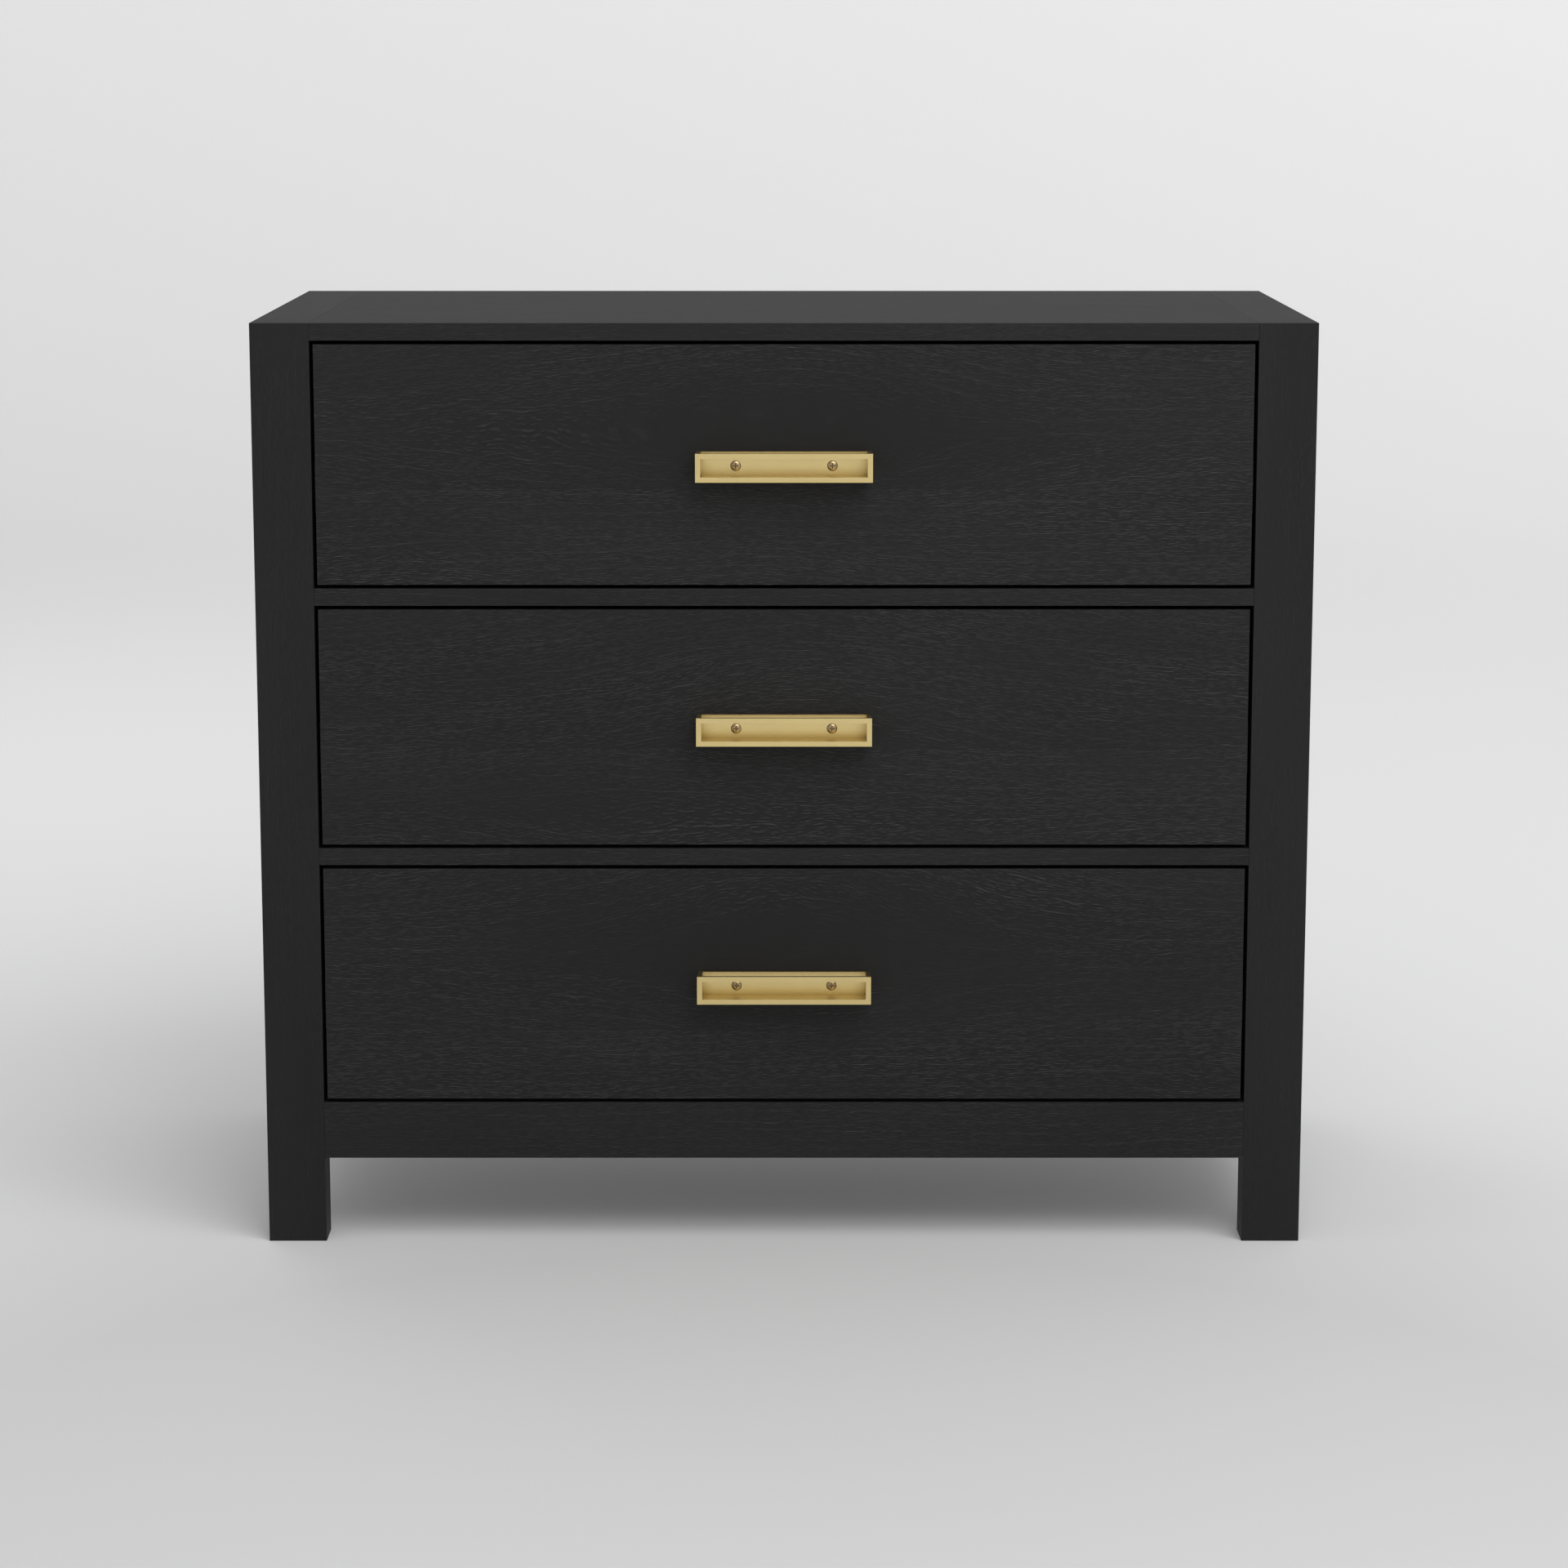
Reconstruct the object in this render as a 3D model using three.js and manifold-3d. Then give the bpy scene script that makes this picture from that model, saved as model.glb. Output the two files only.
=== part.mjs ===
// Chest with three inset drawers on telescopic slides, in millimetres, +Z up.
// The origin is at the bottom centre of the overall box. The drawers open towards -Y.
import * as THREE from 'three';
import { mergeVertices } from 'three/addons/utils/BufferGeometryUtils.js';
import Module from 'manifold-3d';

const wasm = await Module();
wasm.setup();

// ---- Overall size ----
const WIDTH = 914.4;
const HEIGHT = 812.8;
const CARCASS_DEPTH = 457.2;
const PULL_PROJECTION = 25.4;
const SEAM = 0.3; // gap between a piece and one that it fits round, rests on or runs past
const GLUED_SEAM = 0.1; // gap in the carcass's tight glued butt joints

// ---- Carcass ----
const LEG_WIDTH = 50.8;
const LEG_DEPTH = 36;
const FLOOR_CLEARANCE = 76.2;
const BOTTOM_RAIL_HEIGHT = 50.8;
const SIDE_TOP_RAIL_HEIGHT = 50.8;
const REAR_RAIL_THICKNESS = 18;
const REAR_TOP_RAIL_HEIGHT = 50.8;
const TOP_THICKNESS = 15;
const DIVIDER_HEIGHT = 15;
const DIVIDER_DEPTH = 60;
const FRONT_RAIL_DEPTH = 19;
const BOTTOM_PANEL_THICKNESS = 18;
const SIDE_SKIN = 18;
const CLEAT_HEIGHT = 64;
const BACK_PANEL_THICKNESS = 6;
const BACK_PANEL_INSET = 18;

// ---- Drawers ----
const DRAWERS = 3;
const FRONT_GAP = 3.3;
const FRONT_THICKNESS = 19;
const BOX_HEIGHT = 165;
const BOX_LENGTH = 400;
const BOX_WALL = 12.7;
const BOX_LIFT = 12; // from the underside of the drawer front to the underside of the box
const BOTTOM_THICKNESS = 6;
const BOTTOM_LIFT = 12; // from the underside of the box to the underside of its bottom panel
const GROOVE_DEPTH = 6;
const TAILS = 4;
const TAIL_FLARE = 0.16; // how far a tail's side leans out, per millimetre of its length

// ---- Telescopic slides ----
const SLIDE_THICKNESS = 12.7;
const SLIDE_LENGTH = 400;
const SLIDE_FRONT_INSET = 21;
const SLIDE_RISE = 70; // from the underside of the box to the slide's middle
const SHEET = 1.2;
const CABINET_MEMBER_HEIGHT = 45;
const MIDDLE_MEMBER_HEIGHT = 39;
const DRAWER_MEMBER_HEIGHT = 32;

// ---- Pulls ----
const PULL_WIDTH = 151.9;
const PULL_HEIGHT = 24.7;
const PULL_BAR = 4.45;
const PULL_FRAME_DEPTH = 3.5;
const PULL_PLATE_DEPTH = 4;
const PULL_PLATE_HEIGHT = 24.3;
const PULL_FLOOR = 1.6;
const PULL_FLOOR_SLIT = 0.6;
const PULL_END_TAPER = 1.2; // how much narrower an end wall is at the drawer than at the frame
const SCREW_SPACING = 83.2;
const SCREW_HEAD_RADIUS = 4;
const SCREW_SHANK_RADIUS = 2;
const SCREW_LENGTH = 19;
const SCREW_CLEARANCE = 0.3;

// ---- Derived places ----
const FRONT_Y = -(CARCASS_DEPTH + PULL_PROJECTION) / 2 + PULL_PROJECTION;
const BACK_Y = FRONT_Y + CARCASS_DEPTH;
const HALF_INSIDE = WIDTH / 2 - LEG_WIDTH;
const TOP_UNDERSIDE = HEIGHT - TOP_THICKNESS;
const BACK_PANEL_Y = BACK_Y - BACK_PANEL_INSET - SEAM - BACK_PANEL_THICKNESS;
const BAYS_BOTTOM = FLOOR_CLEARANCE + BOTTOM_RAIL_HEIGHT;
const BAY_HEIGHT = (TOP_UNDERSIDE - BAYS_BOTTOM - (DRAWERS - 1) * DIVIDER_HEIGHT) / DRAWERS;
const BOX_HALF_WIDTH = HALF_INSIDE - SLIDE_THICKNESS;
const BOX_FRONT_Y = FRONT_Y + FRONT_THICKNESS + SEAM;
const BOX_BACK_Y = BOX_FRONT_Y + BOX_LENGTH;

// ---- Materials ----
function finish(name, color, roughness, metalness) {
  return new THREE.MeshStandardMaterial({ name, color, roughness, metalness });
}
const blackOak = finish('black_oak', 0x29292a, 0.55, 0);
const plyBlack = finish('black_ply', 0x232324, 0.65, 0);
const boxWood = finish('drawer_wood', 0xc9a676, 0.5, 0);
const blackSteel = finish('black_steel', 0x3a3b3d, 0.4, 1);
const satinBrass = finish('satin_brass', 0xc7ac74, 0.35, 1);
const screwBrass = finish('antique_brass', 0x8a6a3c, 0.4, 1);

// ---- Geometry helpers ----
function boxBetween(low, high) {
  const size = high.map((value, axis) => value - low[axis]);
  const middle = high.map((value, axis) => (value + low[axis]) / 2);
  return new THREE.BoxGeometry(...size).translate(...middle);
}

function toSolid(geometry) {
  const bare = geometry.clone();
  bare.deleteAttribute('normal');
  bare.deleteAttribute('uv');
  const merged = mergeVertices(bare, 1e-4);
  return new wasm.Manifold(new wasm.Mesh({
    numProp: 3,
    vertProperties: new Float32Array(merged.attributes.position.array),
    triVerts: new Uint32Array(merged.index.array),
  }));
}

function toGeometry(solid) {
  const mesh = solid.getMesh();
  const geometry = new THREE.BufferGeometry();
  geometry.setAttribute('position', new THREE.BufferAttribute(mesh.vertProperties, 3));
  geometry.setIndex(new THREE.BufferAttribute(mesh.triVerts, 1));
  geometry.computeVertexNormals();
  return geometry;
}

function joined(...geometries) {
  return toGeometry(geometries.map(toSolid).reduce((sum, piece) => sum.add(piece)));
}

function cut(geometry, ...tools) {
  return toGeometry(tools.map(toSolid).reduce((rest, tool) => rest.subtract(tool), toSolid(geometry)));
}

// Extrudes an outline of [y, z] points along X, from x0 to x1.
function extrudeAlongX(outline, x0, x1) {
  const shape = new THREE.Shape(outline.map(([y, z]) => new THREE.Vector2(y, z)));
  const geometry = new THREE.ExtrudeGeometry(shape, { depth: x1 - x0, bevelEnabled: false });
  geometry.applyMatrix4(new THREE.Matrix4().set(
    0, 0, 1, x0,
    1, 0, 0, 0,
    0, 1, 0, 0,
    0, 0, 0, 1,
  ));
  return geometry;
}

// Extrudes an outline of [x, z] points along Y, from y0 to y1.
function extrudeAlongY(outline, y0, y1) {
  const shape = new THREE.Shape(outline.map(([x, z]) => new THREE.Vector2(x, z)));
  const geometry = new THREE.ExtrudeGeometry(shape, { depth: y1 - y0, bevelEnabled: false });
  return geometry.rotateX(Math.PI / 2).translate(0, y1, 0);
}

// Extrudes an outline of [x, y] points along Z, from z0 to z1.
function extrudeAlongZ(outline, z0, z1) {
  const shape = new THREE.Shape(outline.map(([x, y]) => new THREE.Vector2(x, y)));
  return new THREE.ExtrudeGeometry(shape, { depth: z1 - z0, bevelEnabled: false }).translate(0, 0, z0);
}

// Revolves [radius, distance] points about the Y axis, distances running towards +Y.
function turned(profile, segments) {
  return new THREE.LatheGeometry(profile.map(([r, y]) => new THREE.Vector2(r, y)), segments);
}

const chest = new THREE.Group();

function addPiece(parent, name, geometry, material) {
  const mesh = new THREE.Mesh(geometry, material);
  mesh.name = name;
  parent.add(mesh);
}

const SIDES = [
  { label: 'left', sign: -1 },
  { label: 'right', sign: 1 },
];

// A box given for the +X side, mirrored to the side asked for.
function sidedBox(sign, low, high) {
  const xs = [sign * low[0], sign * high[0]].sort((a, b) => a - b);
  return boxBetween([xs[0], low[1], low[2]], [xs[1], high[1], high[2]]);
}

// ---- Carcass ----
const bayBottom = (index) => BAYS_BOTTOM + (DRAWERS - 1 - index) * (BAY_HEIGHT + DIVIDER_HEIGHT);
const frontBottom = (index) => bayBottom(index) + FRONT_GAP;
const boxBottom = (index) => frontBottom(index) + BOX_LIFT;
const slideHeight = (index) => boxBottom(index) + SLIDE_RISE;

function addCarcass() {
  const group = new THREE.Group();
  chest.add(group);
  const inside = HALF_INSIDE - GLUED_SEAM;
  const panelFront = FRONT_Y + LEG_DEPTH + GLUED_SEAM;
  const panelBack = BACK_Y - LEG_DEPTH - GLUED_SEAM;

  addPiece(group, 'top_panel', boxBetween(
    [-inside, FRONT_Y, TOP_UNDERSIDE],
    [inside, BACK_Y, HEIGHT],
  ), blackOak);

  for (const { label, sign } of SIDES) {
    addPiece(group, `leg_front_${label}`, sidedBox(sign,
      [HALF_INSIDE, FRONT_Y, 0],
      [WIDTH / 2, FRONT_Y + LEG_DEPTH, HEIGHT]), blackOak);
    addPiece(group, `leg_rear_${label}`, sidedBox(sign,
      [HALF_INSIDE, BACK_Y - LEG_DEPTH, 0],
      [WIDTH / 2, BACK_Y, HEIGHT]), blackOak);
    addPiece(group, `side_top_rail_${label}`, sidedBox(sign,
      [HALF_INSIDE, panelFront, HEIGHT - SIDE_TOP_RAIL_HEIGHT],
      [WIDTH / 2, panelBack, HEIGHT]), blackOak);
    addPiece(group, `side_panel_${label}`, sidePanel(sign, panelFront, panelBack), blackOak);
  }

  for (let index = 0; index < DRAWERS - 1; index += 1) {
    const bottom = bayBottom(index) - DIVIDER_HEIGHT;
    addPiece(group, `divider_rail_${index + 1}`, boxBetween(
      [-inside, FRONT_Y, bottom],
      [inside, FRONT_Y + DIVIDER_DEPTH, bottom + DIVIDER_HEIGHT],
    ), blackOak);
  }

  addPiece(group, 'front_bottom_rail', boxBetween(
    [-inside, FRONT_Y, FLOOR_CLEARANCE],
    [inside, FRONT_Y + FRONT_RAIL_DEPTH, BAYS_BOTTOM],
  ), blackOak);
  addPiece(group, 'bottom_panel', carcassBottom(), plyBlack);
  addPiece(group, 'rear_top_rail', boxBetween(
    [-inside, BACK_Y - REAR_RAIL_THICKNESS, TOP_UNDERSIDE - SEAM - REAR_TOP_RAIL_HEIGHT],
    [inside, BACK_Y, TOP_UNDERSIDE - SEAM],
  ), blackOak);
  addPiece(group, 'back_panel', boxBetween(
    [-inside, BACK_PANEL_Y, BAYS_BOTTOM - BOTTOM_PANEL_THICKNESS],
    [inside, BACK_PANEL_Y + BACK_PANEL_THICKNESS, TOP_UNDERSIDE - SEAM],
  ), plyBlack);
}

// The board under the lowest drawer, from the front rail to the back panel, notched round the legs.
function carcassBottom() {
  const narrow = HALF_INSIDE - SEAM;
  const wide = WIDTH / 2 - SIDE_SKIN - SEAM;
  const legsFront = FRONT_Y + LEG_DEPTH + SEAM;
  const legsBack = BACK_Y - LEG_DEPTH - SEAM;
  const front = FRONT_Y + FRONT_RAIL_DEPTH + SEAM;
  const back = BACK_PANEL_Y - SEAM;
  const underside = BAYS_BOTTOM - BOTTOM_PANEL_THICKNESS;
  return joined(
    boxBetween([-narrow, front, underside], [narrow, back, BAYS_BOTTOM]),
    boxBetween([-wide, legsFront, underside], [wide, legsBack, BAYS_BOTTOM]),
  );
}

// The outer skin of a side, flush with the legs, with a glued cleat behind each slide.
function sidePanel(sign, front, back) {
  const skinInside = WIDTH / 2 - SIDE_SKIN;
  const panel = [sidedBox(sign,
    [skinInside, front, FLOOR_CLEARANCE],
    [WIDTH / 2, back, HEIGHT - SIDE_TOP_RAIL_HEIGHT - GLUED_SEAM])];
  for (let index = 0; index < DRAWERS; index += 1) {
    const middle = slideHeight(index);
    panel.push(sidedBox(sign,
      [HALF_INSIDE, front, middle - CLEAT_HEIGHT / 2],
      [skinInside + 1, back, middle + CLEAT_HEIGHT / 2]));
  }
  return joined(...panel);
}

// ---- Slides ----
// A channel of bent sheet. Its web stands at distance web from the carcass wall and its two
// flanges reach to distance lip.
function slideMember(sign, height, web, lip, index) {
  const towardsLip = Math.sign(lip - web);
  const place = (distance) => sign * (HALF_INSIDE - SEAM - distance);
  const middle = slideHeight(index);
  const outer = height / 2;
  const inner = outer - SHEET;
  const webFace = place(web);
  const webBack = place(web + towardsLip * SHEET);
  const tip = place(lip);
  const outline = [
    [webFace, -outer], [tip, -outer], [tip, -inner], [webBack, -inner],
    [webBack, inner], [tip, inner], [tip, outer], [webFace, outer],
  ].map(([x, z]) => [x, z + middle]);
  const start = FRONT_Y + SLIDE_FRONT_INSET;
  return extrudeAlongY(outline, start, start + SLIDE_LENGTH);
}

function addSlides(index) {
  const group = new THREE.Group();
  chest.add(group);
  const reach = SLIDE_THICKNESS - 2 * SEAM;
  for (const { label, sign } of SIDES) {
    addPiece(group, `slide_cabinet_${label}_${index + 1}`,
      slideMember(sign, CABINET_MEMBER_HEIGHT, 0, 9.4, index), blackSteel);
    addPiece(group, `slide_middle_${label}_${index + 1}`,
      slideMember(sign, MIDDLE_MEMBER_HEIGHT, 2.2, 10.4, index), blackSteel);
    addPiece(group, `slide_drawer_${label}_${index + 1}`,
      slideMember(sign, DRAWER_MEMBER_HEIGHT, reach, 4.4, index), blackSteel);
  }
}

// ---- Drawers ----
// The outline of a box side, with dovetails at both ends; grow widens it all round.
function sideOutline(bottom, grow) {
  const pitch = BOX_HEIGHT / TAILS;
  const length = BOX_WALL + grow;
  const nearFront = BOX_FRONT_Y + BOX_WALL;
  const nearBack = BOX_BACK_Y - BOX_WALL;
  const rootHalf = pitch * 0.3 + grow;
  const points = [];
  const addEnd = (shoulder, direction, fromTop) => {
    for (let tail = 0; tail < TAILS; tail += 1) {
      const middle = bottom + pitch * ((fromTop ? TAILS - 1 - tail : tail) + 0.5);
      const turn = fromTop ? -1 : 1;
      const tipHalf = rootHalf + BOX_WALL * TAIL_FLARE;
      points.push([shoulder, middle - turn * rootHalf]);
      points.push([shoulder + direction * length, middle - turn * tipHalf]);
      points.push([shoulder + direction * length, middle + turn * tipHalf]);
      points.push([shoulder, middle + turn * rootHalf]);
    }
  };
  points.push([nearFront - grow, bottom - grow]);
  points.push([nearBack + grow, bottom - grow]);
  addEnd(nearBack + grow, 1, false);
  points.push([nearBack + grow, bottom + BOX_HEIGHT + grow]);
  points.push([nearFront - grow, bottom + BOX_HEIGHT + grow]);
  addEnd(nearFront - grow, -1, true);
  return points;
}

function boxSide(sign, bottom, grow) {
  const xs = [BOX_HALF_WIDTH - BOX_WALL - grow, BOX_HALF_WIDTH + grow].map((x) => sign * x);
  xs.sort((a, b) => a - b);
  return extrudeAlongX(sideOutline(bottom, grow), xs[0], xs[1]);
}

function bottomPanel(bottom, grow) {
  const x = BOX_HALF_WIDTH - BOX_WALL + GROOVE_DEPTH - SEAM + grow;
  const low = bottom + BOTTOM_LIFT - grow;
  const front = BOX_FRONT_Y + BOX_WALL - GROOVE_DEPTH + SEAM - grow;
  const back = BOX_BACK_Y - BOX_WALL + GROOVE_DEPTH - SEAM + grow;
  return boxBetween([-x, front, low], [x, back, low + BOTTOM_THICKNESS + 2 * grow]);
}

// The pull in one piece: back plate, floor and end walls behind a front frame, open at the top.
function pull() {
  const back = -SEAM;
  const plateFront = back - PULL_PLATE_DEPTH;
  const frameFront = -PULL_PROJECTION;
  const frameBack = frameFront + PULL_FRAME_DEPTH;
  const halfWidth = PULL_WIDTH / 2;
  const halfHeight = PULL_HEIGHT / 2;
  const openX = halfWidth - PULL_BAR;
  const openZ = halfHeight - PULL_BAR;
  const frame = cut(
    boxBetween([-halfWidth, frameFront, -halfHeight], [halfWidth, frameBack, halfHeight]),
    boxBetween([-openX, frameFront - 1, -openZ], [openX, frameBack + 1, openZ]),
  );
  const plate = boxBetween([-openX - 1, plateFront, -PULL_PLATE_HEIGHT / 2],
    [openX + 1, back, PULL_PLATE_HEIGHT / 2]);
  const floorX = openX - PULL_FLOOR_SLIT;
  const floor = boxBetween([-floorX, frameBack - 1, -openZ - PULL_FLOOR], [floorX, back, -openZ]);
  const ends = SIDES.map(({ sign }) => extrudeAlongZ([
    [sign * openX, frameBack - 1], [sign * halfWidth, frameBack - 1],
    [sign * (halfWidth - PULL_END_TAPER), back], [sign * openX, back],
  ], -halfHeight, halfHeight));
  const body = joined(frame, plate, floor, ...ends);
  return cut(body, ...screwPlaces().map((x) => screwHole().translate(x, 0, 0)));
}

function screwPlaces() {
  return [-SCREW_SPACING / 2, SCREW_SPACING / 2];
}

const SCREW_FACE = -SEAM - PULL_PLATE_DEPTH - 0.6;

// A countersunk screw, its raised head forwards, with a cross recess.
function screw() {
  const neck = SCREW_FACE + 3.2;
  const body = turned([
    [0, SCREW_FACE], [2.6, SCREW_FACE + 0.1], [SCREW_HEAD_RADIUS, SCREW_FACE + 0.8],
    [SCREW_SHANK_RADIUS, neck], [SCREW_SHANK_RADIUS, SCREW_FACE + SCREW_LENGTH - 3],
    [0, SCREW_FACE + SCREW_LENGTH],
  ], 24);
  const slot = (long, wide) => boxBetween(
    [-long / 2, SCREW_FACE - 1, -wide / 2],
    [long / 2, SCREW_FACE + 1.4, wide / 2],
  );
  return cut(body, slot(4.6, 0.9), slot(0.9, 4.6));
}

// The hole that clears the screw: a countersink through the plate and a pilot behind it.
function screwHole() {
  const mouth = SCREW_HEAD_RADIUS + 0.5;
  const pilot = SCREW_SHANK_RADIUS + SCREW_CLEARANCE;
  return turned([
    [0, SCREW_FACE - 1], [mouth, SCREW_FACE - 1], [mouth, SCREW_FACE + 0.9],
    [pilot, SCREW_FACE + 3.6], [pilot, SCREW_FACE + SCREW_LENGTH + 0.8],
    [0, SCREW_FACE + SCREW_LENGTH + 0.8],
  ], 24);
}

function addDrawer(index) {
  const group = new THREE.Group();
  chest.add(group);
  const number = index + 1;
  const bottom = boxBottom(index);
  const low = frontBottom(index);
  const high = low + BAY_HEIGHT - 2 * FRONT_GAP;
  const middle = (low + high) / 2;
  const halfFront = HALF_INSIDE - FRONT_GAP;
  const onFace = (geometry) => geometry.translate(0, FRONT_Y, middle);
  const groove = bottomPanel(bottom, SEAM);

  addPiece(group, `drawer_front_${number}`, cut(
    boxBetween([-halfFront, FRONT_Y, low], [halfFront, FRONT_Y + FRONT_THICKNESS, high]),
    ...screwPlaces().map((x) => onFace(screwHole().translate(x, 0, 0))),
  ), blackOak);

  const grownSides = SIDES.map(({ sign }) => boxSide(sign, bottom, SEAM));
  const endBoard = (front) => boxBetween(
    [-BOX_HALF_WIDTH, front, bottom],
    [BOX_HALF_WIDTH, front + BOX_WALL, bottom + BOX_HEIGHT],
  );
  addPiece(group, `box_front_${number}`, cut(endBoard(BOX_FRONT_Y), ...grownSides, groove), boxWood);
  addPiece(group, `box_back_${number}`,
    cut(endBoard(BOX_BACK_Y - BOX_WALL), ...grownSides, groove), boxWood);
  for (const { label, sign } of SIDES) {
    addPiece(group, `box_side_${label}_${number}`, cut(boxSide(sign, bottom, 0), groove), boxWood);
  }
  addPiece(group, `box_bottom_${number}`, bottomPanel(bottom, 0), boxWood);

  addPiece(group, `pull_${number}`, onFace(pull()), satinBrass);
  SIDES.forEach(({ label }, place) => {
    addPiece(group, `pull_screw_${label}_${number}`,
      onFace(screw().translate(screwPlaces()[place], 0, 0)), screwBrass);
  });
}

addCarcass();
for (let index = 0; index < DRAWERS; index += 1) {
  addSlides(index);
  addDrawer(index);
}

export default chest;
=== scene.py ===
"""Looks for the three-drawer chest: black-stained oak, satin brass pulls, black steel slides."""
import math
import bpy
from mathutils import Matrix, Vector


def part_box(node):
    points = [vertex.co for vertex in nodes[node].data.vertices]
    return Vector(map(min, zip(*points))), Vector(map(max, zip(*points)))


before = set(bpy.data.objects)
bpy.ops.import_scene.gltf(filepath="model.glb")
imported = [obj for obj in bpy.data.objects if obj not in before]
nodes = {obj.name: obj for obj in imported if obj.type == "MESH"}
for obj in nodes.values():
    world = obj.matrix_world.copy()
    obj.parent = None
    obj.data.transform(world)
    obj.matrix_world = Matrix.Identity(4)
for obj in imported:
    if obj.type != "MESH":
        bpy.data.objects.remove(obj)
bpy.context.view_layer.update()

DRAWERS = (1, 2, 3)
SIDES = ("left", "right")

# The camera stands in front of the carcass, above its top, and looks slightly down.
CAMERA_DISTANCE = 3.55206
CAMERA_HEIGHT = 1.05293
CAMERA_PITCH = math.radians(10.2174)
LENS = 95.1
SENSOR = 36.0


# ---- Node trees ----
class Graph:
    """Builds one material's nodes.

    A value given to a socket is a number, a tuple or another socket. A colour has three parts.
    """

    def __init__(self, name):
        self.material = bpy.data.materials.new(name)
        self.material.use_nodes = True
        self.tree = self.material.node_tree
        self.tree.nodes.clear()

    def node(self, kind, inputs=None, **settings):
        made = self.tree.nodes.new(kind)
        for key, value in settings.items():
            setattr(made, key, value)
        for key, value in (inputs or {}).items():
            self.feed(value, made.inputs[key])
        return made

    def feed(self, value, socket):
        if isinstance(value, bpy.types.NodeSocket):
            self.tree.links.new(value, socket)
        elif socket.type == "RGBA":
            socket.default_value = (*value, 1.0)
        else:
            socket.default_value = value

    def math(self, operation, *values, clamp=False):
        made = self.node("ShaderNodeMath", dict(enumerate(values)),
                         operation=operation, use_clamp=clamp)
        return made.outputs[0]

    def vector(self, operation, *values):
        made = self.node("ShaderNodeVectorMath", dict(enumerate(values)), operation=operation)
        return made.outputs[0]

    def place(self, output="Object"):
        return self.node("ShaderNodeTexCoord").outputs[output]

    def split(self, vector):
        return self.node("ShaderNodeSeparateXYZ", {0: vector}).outputs

    def join(self, x, y, z):
        return self.node("ShaderNodeCombineXYZ", {0: x, 1: y, 2: z}).outputs[0]

    def noise(self, place, scale, detail=2.0, roughness=0.5):
        """Soft noise from 0 to 1, with scale as how fast it changes along each axis."""
        made = self.node("ShaderNodeTexNoise", {
            "Vector": self.vector("MULTIPLY", place, scale), "Scale": 1.0,
            "Detail": detail, "Roughness": roughness})
        return made.outputs["Fac"]

    def ramp(self, value, low, high):
        """0 below low, 1 above high, and smooth between."""
        made = self.node("ShaderNodeMapRange", {
            "Value": value, "From Min": low, "From Max": high}, interpolation_type="SMOOTHSTEP")
        return made.outputs["Result"]

    def mix_color(self, factor, a, b):
        made = self.node("ShaderNodeMix", data_type="RGBA")
        self.feed(factor, made.inputs[0])
        self.feed(a, made.inputs[6])
        self.feed(b, made.inputs[7])
        return made.outputs[2]

    def mix_value(self, factor, a, b):
        made = self.node("ShaderNodeMix", data_type="FLOAT")
        self.feed(factor, made.inputs[0])
        self.feed(a, made.inputs[2])
        self.feed(b, made.inputs[3])
        return made.outputs[0]

    def crevice(self, reach):
        """Ambient occlusion, used to place painted shading: 1 on open faces, falling to 0 in
        corners and recesses narrower than reach.
        """
        made = self.node("ShaderNodeAmbientOcclusion", {"Distance": reach}, samples=12)
        return made.outputs["AO"]

    def bump(self, height, strength, distance):
        made = self.node("ShaderNodeBump", {
            "Height": height, "Strength": strength, "Distance": distance})
        return made.outputs["Normal"]

    def finish(self, **inputs):
        named = {key.replace("_", " "): value for key, value in inputs.items()}
        shader = self.node("ShaderNodeBsdfPrincipled", named)
        self.node("ShaderNodeOutputMaterial", {"Surface": shader.outputs[0]})
        return self.material


class Figure:
    """One board's growth rings, which bend round an eye.

    along and across say where the eye is, on the grain's axis and on the board's width. The rings
    are lifted by rise, over a half length of reach and a half width of spread.
    """

    def __init__(self, along=0.0, across=0.0, rise=0.0, reach=0.3, spread=0.06):
        self.along = along
        self.across = across
        self.rise = rise
        self.reach = reach
        self.spread = spread


# Which of x, y and z lie along the grain, across the rings and through the board.
GRAIN_AXES = {"X": (0, 2, 1), "Y": (1, 2, 0), "Z": (2, 0, 1)}

# How the rings run. Lengths are in metres.
WANDER = 0.035  # how far the rings stray from straight
WANDER_ALONG = 2.2  # how fast they stray along the grain
WANDER_SCALE = (1.0, 9.0, 9.0)
DEPTH_SLANT = 0.35  # how far they shift for each metre of depth
UPPER_JUMP = 3.7  # keeps the noise of a glued-up front's upper board apart from the lower's
JUMP_ALONG = 1.3
FIBRE_BEND = 0.75  # how far the fibres follow the rings' bend
RING_SCALE = (5.0, 60.0, 60.0)
RING_WOBBLE = 1.6
EARLY_RISE = (0.0, 0.08)  # the share of a ring in which its early wood begins, and ends
EARLY_FALL = (0.10, 0.34)

# The pores: short dashes all over, and lined-up ones in the early wood. Each pore gets a painted
# highlight on one side and painted shading on the other, as if lit from above.
PATCH_SCALE = (5.0, 24.0, 24.0)
PATCH_RANGE = (0.32, 0.60)
PATCH_FLOOR = 0.45
CURL_SCALE = (28.0, 70.0, 70.0)
CURL = 0.004
SHORT_SCALE = (115.0, 1500.0, 1500.0)
SHORT_RANGE = (0.52, 0.70)
LINED_SCALE = (55.0, 1200.0, 1200.0)
LINED_RANGE = (0.42, 0.62)
LINED_WEIGHT = 1.1
LINED_FLOOR = 0.05
PORE_WIDTH = 0.0005
PORE_DEPTH = 0.0005
PORE_SHINE = 3.2
PORE_SHADE = 0.35
SHADE_WEIGHT = 0.8
PORE_BUMP = 0.5

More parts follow.
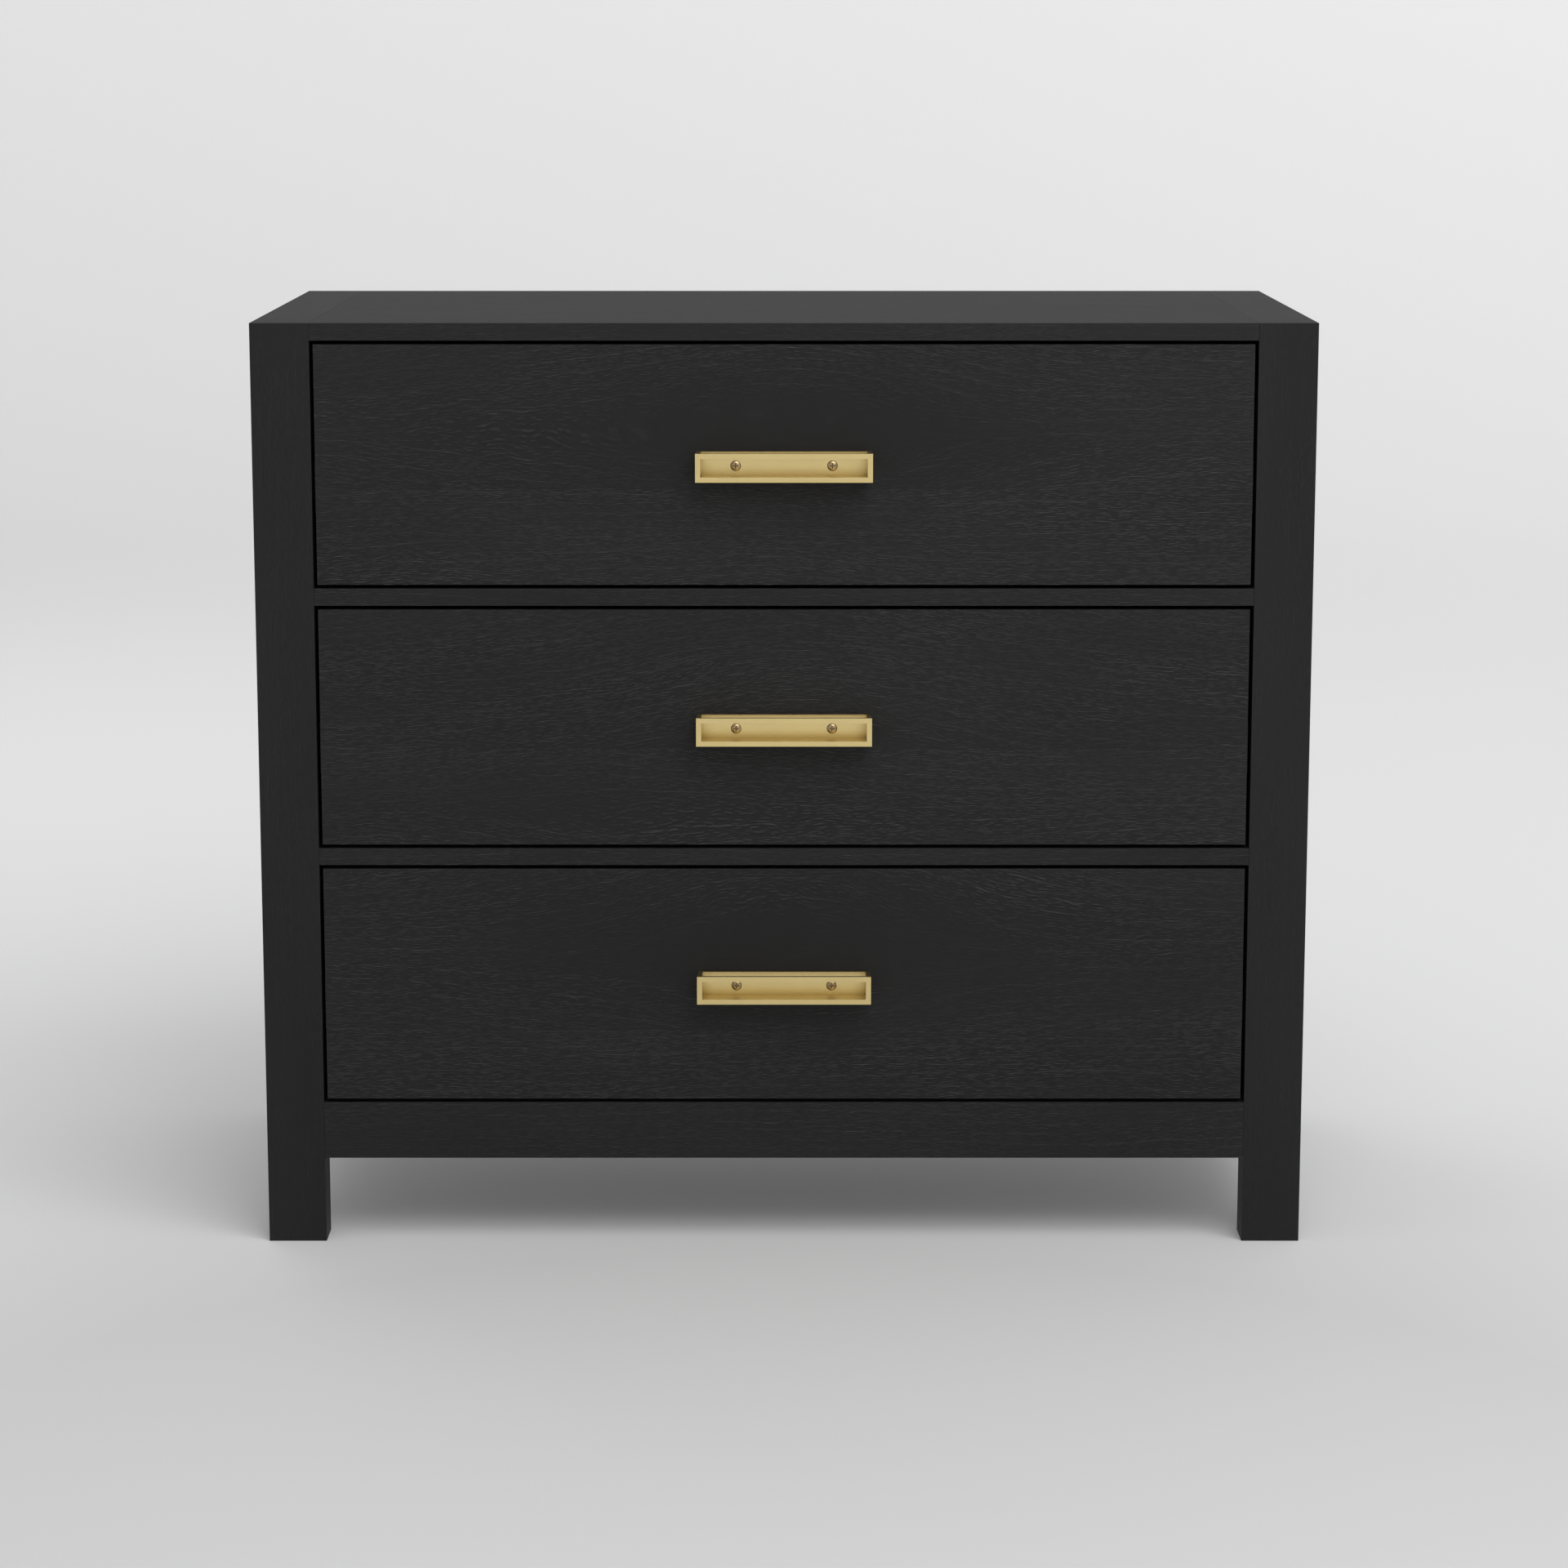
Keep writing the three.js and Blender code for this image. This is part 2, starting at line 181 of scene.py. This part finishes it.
# The wood between the pores.
FIBRE_SCALE = (60.0, 1500.0, 1500.0)
FIBRE_ROUGHNESS = 0.6
FIBRE_RELIEF = 0.3
BROAD_SCALE = (2.0, 9.0, 9.0)
TONE_RANGE = (0.3, 0.7)
END_FACING = (0.5, 0.9)
SMOOTHER = 0.06
ROUGHER = 0.08


def grain_space(graph, axis, seed, figure, lower=None, seam=None):
    """Coordinates with the grain along x, the rings' spacing along y and the depth along z.

    Returns them bent for the rings, bent less for the fibres, and how flat the rings lie, from 0
    to 1. A board glued up from two takes lower as the figure of the one below the height seam.
    """
    parts = graph.split(graph.place())
    along, across, depth = (parts[index] for index in GRAIN_AXES[axis])
    jump = seed
    shape = vars(figure)
    if lower:
        above = graph.math("GREATER_THAN", parts[2], seam)
        jump = graph.math("ADD", seed, graph.math("MULTIPLY", above, UPPER_JUMP))
        shape = {key: graph.mix_value(above, vars(lower)[key], value)
                 for key, value in shape.items()}

    slow = graph.math("ADD", graph.math("MULTIPLY", along, WANDER_ALONG), jump)
    stray = graph.noise(graph.join(slow, across, depth), WANDER_SCALE, detail=1.0)
    wander = graph.math("MULTIPLY", graph.math("SUBTRACT", stray, 0.5), WANDER)
    straight = graph.math("ADD", graph.math("ADD", across, wander),
                          graph.math("MULTIPLY", depth, DEPTH_SLANT))
    shifted = graph.math("ADD", along, graph.math("MULTIPLY", jump, JUMP_ALONG))

    from_middle = graph.math("DIVIDE", graph.math("SUBTRACT", along, shape["along"]),
                             shape["reach"])
    squared = graph.math("MULTIPLY", from_middle, from_middle)
    fade = graph.math("DIVIDE", 1.0, graph.math("ADD", 1.0, squared))
    from_eye = graph.math("DIVIDE", graph.math("SUBTRACT", across, shape["across"]),
                          shape["spread"])
    bend = graph.math("TANH", from_eye)
    lift = graph.math("MULTIPLY", graph.math("MULTIPLY", fade, shape["rise"]), bend)
    level = graph.math("SUBTRACT", 1.0, graph.math("MULTIPLY", bend, bend))
    steepness = graph.math("DIVIDE", shape["rise"], shape["spread"])
    flatness = graph.math("MULTIPLY", graph.math("MULTIPLY", fade, level), steepness, clamp=True)

    def bent(share):
        height = graph.math("SUBTRACT", straight, graph.math("MULTIPLY", lift, share))
        return graph.join(shifted, graph.math("ADD", height, jump), depth)

    return bent(1.0), bent(FIBRE_BEND), flatness


def early_wood(graph, rings, ring):
    """1 in each ring's early wood and 0 in the rest, with a ring every ring metres."""
    wobble = graph.math("MULTIPLY", graph.noise(rings, RING_SCALE), RING_WOBBLE)
    turns = graph.math("ADD", graph.math("DIVIDE", graph.split(rings)[1], ring), wobble)
    phase = graph.math("FRACT", turns)
    return graph.math("MULTIPLY", graph.ramp(phase, *EARLY_RISE),
                      graph.math("SUBTRACT", 1.0, graph.ramp(phase, *EARLY_FALL)))


def pore_pattern(graph, fibres, early, flatness):
    """The pores, from 0 to about 2, and their lips: over 0 on one side, for a painted highlight,
    and under 0 on the other, for painted shading.
    """
    patches = graph.ramp(graph.noise(fibres, PATCH_SCALE), *PATCH_RANGE)
    openness = graph.math("MULTIPLY", graph.mix_value(patches, PATCH_FLOOR, 1.0),
                          graph.math("SUBTRACT", 1.0, flatness))
    in_lines = graph.math("MULTIPLY", early, graph.mix_value(openness, LINED_FLOOR, 1.0))
    curl = graph.math("SUBTRACT", graph.noise(fibres, CURL_SCALE, detail=1.0), 0.5)
    curled = graph.vector("ADD", fibres, graph.join(0.0, graph.math("MULTIPLY", curl, CURL), 0.0))

    def pores(shift):
        place = graph.vector("ADD", curled, (0.0, shift, 0.0))
        dashes = graph.ramp(graph.noise(place, SHORT_SCALE, detail=1.0), *SHORT_RANGE)
        lines = graph.ramp(graph.noise(place, LINED_SCALE, detail=1.0), *LINED_RANGE)
        lined = graph.math("MULTIPLY", lines, in_lines)
        return graph.math("ADD", graph.math("MULTIPLY", dashes, openness),
                          graph.math("MULTIPLY", lined, LINED_WEIGHT))

    pore = pores(0.0)
    return pore, graph.math("SUBTRACT", pore, pores(PORE_WIDTH))


def oak(name, axis, seed, dark, light, figure=Figure(), lower=None, seam=None, grain=1.0,
        pore_light=1.0, roughness=0.6, specular=0.25, ring=0.0075, end_grain=0.0):
    """Open-pored oak: rings of early wood, and short curly pores with a painted highlight on one
    side and painted shading on the other.

    grain is the strength of the pores and of the painted highlight and shading on their lips, and
    pore_light how bright the painted highlight is. end_grain is how much darker the board is where
    it is cut across, from 0 to 1.
    """
    graph = Graph(name)
    rings, fibres, flatness = grain_space(graph, axis, seed, figure, lower, seam)
    pore, lip_light_and_shading = pore_pattern(graph, fibres, early_wood(graph, rings, ring), flatness)

    fibre = graph.noise(fibres, FIBRE_SCALE, roughness=FIBRE_ROUGHNESS)
    broad = graph.noise(fibres, BROAD_SCALE)
    tone = graph.math("ADD", graph.math("MULTIPLY", fibre, 0.5),
                      graph.math("MULTIPLY", broad, 0.5))
    base = graph.mix_color(graph.ramp(tone, *TONE_RANGE), dark, light)
    # Painted highlight and painted shading on the pore lips; the darker colour is also the real
    # darker colour of cut end grain.
    shine = tuple(min(1.0, part * (1 + PORE_SHINE * pore_light)) for part in light)
    lip_shading_and_end_grain = tuple(part * PORE_SHADE for part in dark)
    lit = graph.mix_color(graph.math("MULTIPLY", lip_light_and_shading, grain, clamp=True), base, shine)
    color = graph.mix_color(graph.math("MULTIPLY", lip_light_and_shading, -SHADE_WEIGHT * grain, clamp=True),
                            lit, lip_shading_and_end_grain)
    if end_grain:
        along_grain = graph.split(graph.place("Normal"))[GRAIN_AXES[axis][0]]
        facing = graph.ramp(graph.math("ABSOLUTE", along_grain), *END_FACING)
        color = graph.mix_color(graph.math("MULTIPLY", facing, end_grain), color, lip_shading_and_end_grain)

    relief = graph.math("SUBTRACT", graph.math("MULTIPLY", fibre, FIBRE_RELIEF), pore)
    return graph.finish(
        Base_Color=color,
        Roughness=graph.mix_value(fibre, roughness - SMOOTHER, roughness + ROUGHER),
        Specular_IOR_Level=specular,
        Normal=graph.bump(relief, PORE_BUMP * grain, PORE_DEPTH),
    )


# Metal.
SATIN_SCALE = 1500.0
STREAK_SCALE = 12.0
CLOUD_SCALE = (35.0, 35.0, 35.0)
CREVICE_RANGE = (0.15, 0.95)
SATIN_SMOOTHER = 0.05
SATIN_ROUGHER = 0.07
SATIN_BUMP = 0.06
SATIN_DEPTH = 0.00008


def metal(name, color, roughness, speckle, streak_axis=None, painted_crevice_shade=None, recess=0.012):
    """Metal with a fine satin grain, which streak_axis draws out.

    The second colour is painted shading, laid where ambient occlusion finds corners and recesses
    narrower than recess.
    """
    graph = Graph(name)
    place = graph.place()
    fine = [SATIN_SCALE, SATIN_SCALE, SATIN_SCALE]
    if streak_axis is not None:
        fine[streak_axis] = STREAK_SCALE
    grain = graph.noise(place, tuple(fine))
    cloud = graph.noise(place, CLOUD_SCALE, detail=3.0)
    darker = tuple(part * (1 - speckle) for part in color)
    face = graph.mix_color(graph.ramp(cloud, *TONE_RANGE), darker, color)
    if painted_crevice_shade:
        # Painted shading: the face darkens towards the second colour in corners and recesses that
        # ambient occlusion finds.
        face = graph.mix_color(graph.ramp(graph.crevice(recess), *CREVICE_RANGE), painted_crevice_shade, face)
    return graph.finish(
        Base_Color=face,
        Metallic=1.0,
        Roughness=graph.mix_value(grain, roughness - SATIN_SMOOTHER, roughness + SATIN_ROUGHER),
        Normal=graph.bump(grain, SATIN_BUMP, SATIN_DEPTH),
    )


# ---- Materials on the CAD nodes ----
BLACK_DARK = (0.0068, 0.0068, 0.0069)
BLACK_LIGHT = (0.0108, 0.0108, 0.0109)
BOX_DARK = (0.40, 0.255, 0.125)
BOX_LIGHT = (0.56, 0.385, 0.21)
WELD_REACH = 0.00001
FLAT_ANGLE = math.radians(0.5)
SHARP_ANGLE = math.radians(35)


def dress(node, material, bevel):
    """Gives a CAD node its material and, where bevel is over 0, softens its edges."""
    piece = nodes[node]
    piece.data.materials.clear()
    piece.data.materials.append(material)
    if not bevel:
        return
    weld = piece.modifiers.new("Weld", "WELD")
    weld.merge_threshold = WELD_REACH
    flat = piece.modifiers.new("Flat faces", "DECIMATE")
    flat.decimate_type = "DISSOLVE"
    flat.angle_limit = FLAT_ANGLE
    edge = piece.modifiers.new("Bevel", "BEVEL")
    edge.width = bevel
    edge.segments = 2
    edge.limit_method = "ANGLE"
    edge.angle_limit = SHARP_ANGLE
    edge.loop_slide = False


EDGE = 0.0002
SOFT_EDGE = 0.0003
PULL_EDGE = 0.00015
LEG_GRAIN = 0.2  # the strength of the pores on upright boards
INNER_GRAIN = 0.5  # and on every other board but the drawer fronts
CARCASS_GRAIN = {
    "top_panel": "X", "divider_rail_1": "X", "divider_rail_2": "X", "front_bottom_rail": "X",
    "rear_top_rail": "X",
}
for side in SIDES:
    CARCASS_GRAIN[f"leg_front_{side}"] = "Z"
    CARCASS_GRAIN[f"leg_rear_{side}"] = "Z"
    CARCASS_GRAIN[f"side_top_rail_{side}"] = "Y"
    CARCASS_GRAIN[f"side_panel_{side}"] = "Z"

for number, (node, axis) in enumerate(sorted(CARCASS_GRAIN.items())):
    strength = LEG_GRAIN if axis == "Z" else INNER_GRAIN
    dress(node, oak(f"black_oak_{node}", axis, 3.1 + number * 1.37, BLACK_DARK, BLACK_LIGHT,
                    grain=strength), EDGE)
for board, axis in (("back_panel", "Z"), ("bottom_panel", "X")):
    dress(board, oak(f"black_ply_{board}", axis, 9.4, BLACK_DARK, BLACK_LIGHT,
                     grain=INNER_GRAIN), SOFT_EDGE)

BOARD_SHARE = {1: 0.40, 2: 0.41, 3: 0.30}  # how high up each front its glue seam is
BOX_GRAIN = {
    "box_front": "X", "box_back": "X", "box_side_left": "Y", "box_side_right": "Y",
    "box_bottom": "X",
}
BOX_LOOK = {
    "grain": INNER_GRAIN, "pore_light": -0.3, "roughness": 0.42, "specular": 0.5, "end_grain": 0.5,
}
# The pull darkens near its frame, end walls and floor, and the screws in their cross recess and
# countersink: painted shading from ambient occlusion.
brass = metal("satin_brass_pull", (0.735, 0.585, 0.27), 0.30, 0.03, painted_crevice_shade=(0.52, 0.38, 0.15))
screw_brass = metal("dark_brass_screw_recess_shading", (0.50, 0.37, 0.20), 0.34, 0.2,
                painted_crevice_shade=(0.10, 0.06, 0.025), recess=0.003)
steel = metal("black_steel_slide", (0.075, 0.075, 0.078), 0.36, 0.15, streak_axis=1)


def front_figures(drawer, middle, seam):
    """The rings of a front's upper and lower board; the first and last fronts are alike."""
    if drawer == 2:
        upper = Figure(0.02, seam - 0.02, rise=0.06, reach=0.22, spread=0.055)
        return upper, Figure(-0.18, seam - 0.05, rise=0.03, reach=0.14, spread=0.035)
    upper = Figure(0.0, middle + 0.030, rise=0.07, reach=0.25, spread=0.06)
    return upper, Figure(0.1, seam - 0.2, rise=0.02, reach=0.5, spread=0.1)


for drawer in DRAWERS:
    low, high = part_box(f"drawer_front_{drawer}")
    seam = low.z + (high.z - low.z) * BOARD_SHARE[drawer]
    upper, lower = front_figures(drawer, (low.z + high.z) / 2, seam)
    dress(f"drawer_front_{drawer}",
          oak(f"black_oak_front_{drawer}", "X", drawer * 2.3, BLACK_DARK, BLACK_LIGHT,
              upper, lower, seam), EDGE)
    for part, axis in BOX_GRAIN.items():
        dress(f"{part}_{drawer}",
              oak(f"drawer_wood_{part}_{drawer}", axis, drawer * 1.9 + len(part) * 0.7,
                  BOX_DARK, BOX_LIGHT, **BOX_LOOK), EDGE)
    dress(f"pull_{drawer}", brass, PULL_EDGE)
    for side in SIDES:
        dress(f"pull_screw_{side}_{drawer}", screw_brass, 0)
        for member in ("cabinet", "middle", "drawer"):
            dress(f"slide_{member}_{side}_{drawer}", steel, SOFT_EDGE)

# ---- Stage: a round studio bowl, open at the top ----
BOWL_RADIUS = 7.0
COVE_RADIUS = 1.6
BOWL_HEIGHT = 2.4
PAPER_COLOR = (0.72, 0.72, 0.72)
# The paper's glow is painted light standing in for lamps: weak round the chest as a painted shadow,
# stronger further out, and stronger to the right.
FLOOR_GLOW = 0.010
PAPER_GLOW = 0.29
PAPER_GLOW_SLOPE = 0.018
GLOW_START = 1.0  # how far in front of the chest the middle of the painted shadow is, where the paper glows least
GLOW_GAP = 0.75
GLOW_REACH = 1.0
HORIZON_LIGHT = 0.76
OVERHEAD_LIGHT = 0.28


def studio_bowl():
    """A floor disc that turns up through a round cove into a wall, seen the same from all sides."""
    cove_steps = 16
    profile = [(0.0, 0.0), (BOWL_RADIUS - COVE_RADIUS, 0.0)]
    for step in range(1, cove_steps + 1):
        angle = math.pi / 2 * step / cove_steps
        profile.append((BOWL_RADIUS - COVE_RADIUS + COVE_RADIUS * math.sin(angle),
                        COVE_RADIUS - COVE_RADIUS * math.cos(angle)))
    profile.append((BOWL_RADIUS, BOWL_HEIGHT))
    around = 96
    points = [(0.0, 0.0, 0.0)]
    for radius, height in profile[1:]:
        for turn in range(around):
            angle = 2 * math.pi * turn / around
            points.append((radius * math.cos(angle), radius * math.sin(angle), height))
    faces = [(0, 1 + turn, 1 + (turn + 1) % around) for turn in range(around)]
    for ring in range(len(profile) - 2):
        start = 1 + ring * around
        for turn in range(around):
            following = (turn + 1) % around
            faces.append((start + turn, start + around + turn,
                          start + around + following, start + following))
    mesh = bpy.data.meshes.new("studio_bowl")
    mesh.from_pydata(points, [], faces)
    mesh.shade_smooth()
    bowl = bpy.data.objects.new("studio_bowl", mesh)
    bpy.context.scene.collection.objects.link(bowl)
    mesh.materials.append(painted_light_paper())


def painted_light_paper():
    """White paper with painted light: a glow in place of lamp light, weakest round the chest as a
    painted shadow, growing away from it, and brighter to the right.
    """
    graph = Graph("painted_light_paper")
    place = graph.place()
    from_front = graph.vector("SUBTRACT", place, (0.0, -GLOW_START, 0.0))
    length = graph.node("ShaderNodeVectorMath", {0: from_front}, operation="LENGTH")
    radius = length.outputs["Value"]
    right = graph.split(place)[0]
    level = graph.math("ADD", PAPER_GLOW, graph.math("MULTIPLY", right, PAPER_GLOW_SLOPE))
    beyond = graph.math("MAXIMUM", graph.math("SUBTRACT", radius, GLOW_GAP), 0.0)
    fall = graph.math("EXPONENT", graph.math("DIVIDE", beyond, -GLOW_REACH))
    share = graph.math("SUBTRACT", 1.0, fall)
    glow = graph.math("ADD", FLOOR_GLOW, graph.math("MULTIPLY", share, level))
    return graph.finish(Base_Color=PAPER_COLOR, Roughness=0.95, Specular_IOR_Level=0.1,
                        Emission_Color=(1.0, 1.0, 1.0), Emission_Strength=glow)


def soft_light(name, place, target, size, power, mirrored=True):
    """An area lamp; one that isn't mirrored shows in no gloss and in no picture."""
    light = bpy.data.lights.new(name, "AREA")
    light.shape = "SQUARE"
    light.size = size
    light.energy = power
    lamp = bpy.data.objects.new(name, light)
    lamp.location = place
    lamp.rotation_euler = (Vector(target) - Vector(place)).to_track_quat("-Z", "Y").to_euler()
    lamp.visible_camera = mirrored
    lamp.visible_glossy = mirrored
    bpy.context.scene.collection.objects.link(lamp)


def make_world(low, high):
    """White air that is brighter near the horizon than overhead."""
    world = bpy.data.worlds.new("studio_air")
    world.use_nodes = True
    tree = world.node_tree
    direction = tree.nodes.new("ShaderNodeTexCoord").outputs["Generated"]
    split = tree.nodes.new("ShaderNodeSeparateXYZ")
    tree.links.new(direction, split.inputs[0])
    fall = tree.nodes.new("ShaderNodeMapRange")
    fall.inputs["To Min"].default_value = low
    fall.inputs["To Max"].default_value = high
    tree.links.new(split.outputs["Z"], fall.inputs["Value"])
    background = tree.nodes["Background"]
    background.inputs["Color"].default_value = (1.0, 1.0, 1.0, 1.0)
    tree.links.new(fall.outputs["Result"], background.inputs["Strength"])
    bpy.context.scene.world = world


def make_camera():
    data = bpy.data.cameras.new("camera")
    data.lens = LENS
    data.sensor_width = SENSOR
    camera = bpy.data.objects.new("camera", data)
    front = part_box("top_panel")[0].y
    camera.location = (0.0, front - CAMERA_DISTANCE, CAMERA_HEIGHT)
    camera.rotation_euler = (math.pi / 2 - CAMERA_PITCH, 0.0, 0.0)
    bpy.context.scene.collection.objects.link(camera)
    bpy.context.scene.camera = camera


studio_bowl()
make_world(HORIZON_LIGHT, OVERHEAD_LIGHT)
soft_light("key", place=(1.2, -2.2, 3.3), target=(0.1, 0.0, 0.3), size=2.8, power=74.0)
soft_light("front_fill", place=(0.0, -4.7, 2.9), target=(0.0, 0.0, 0.6), size=3.0, power=27.0,
           mirrored=False)
soft_light("rear_fill", place=(-1.8, 2.6, 2.6), target=(-0.5, 0.0, 0.2), size=1.6, power=11.0,
           mirrored=False)
make_camera()
bpy.context.scene.view_settings.view_transform = "Standard"
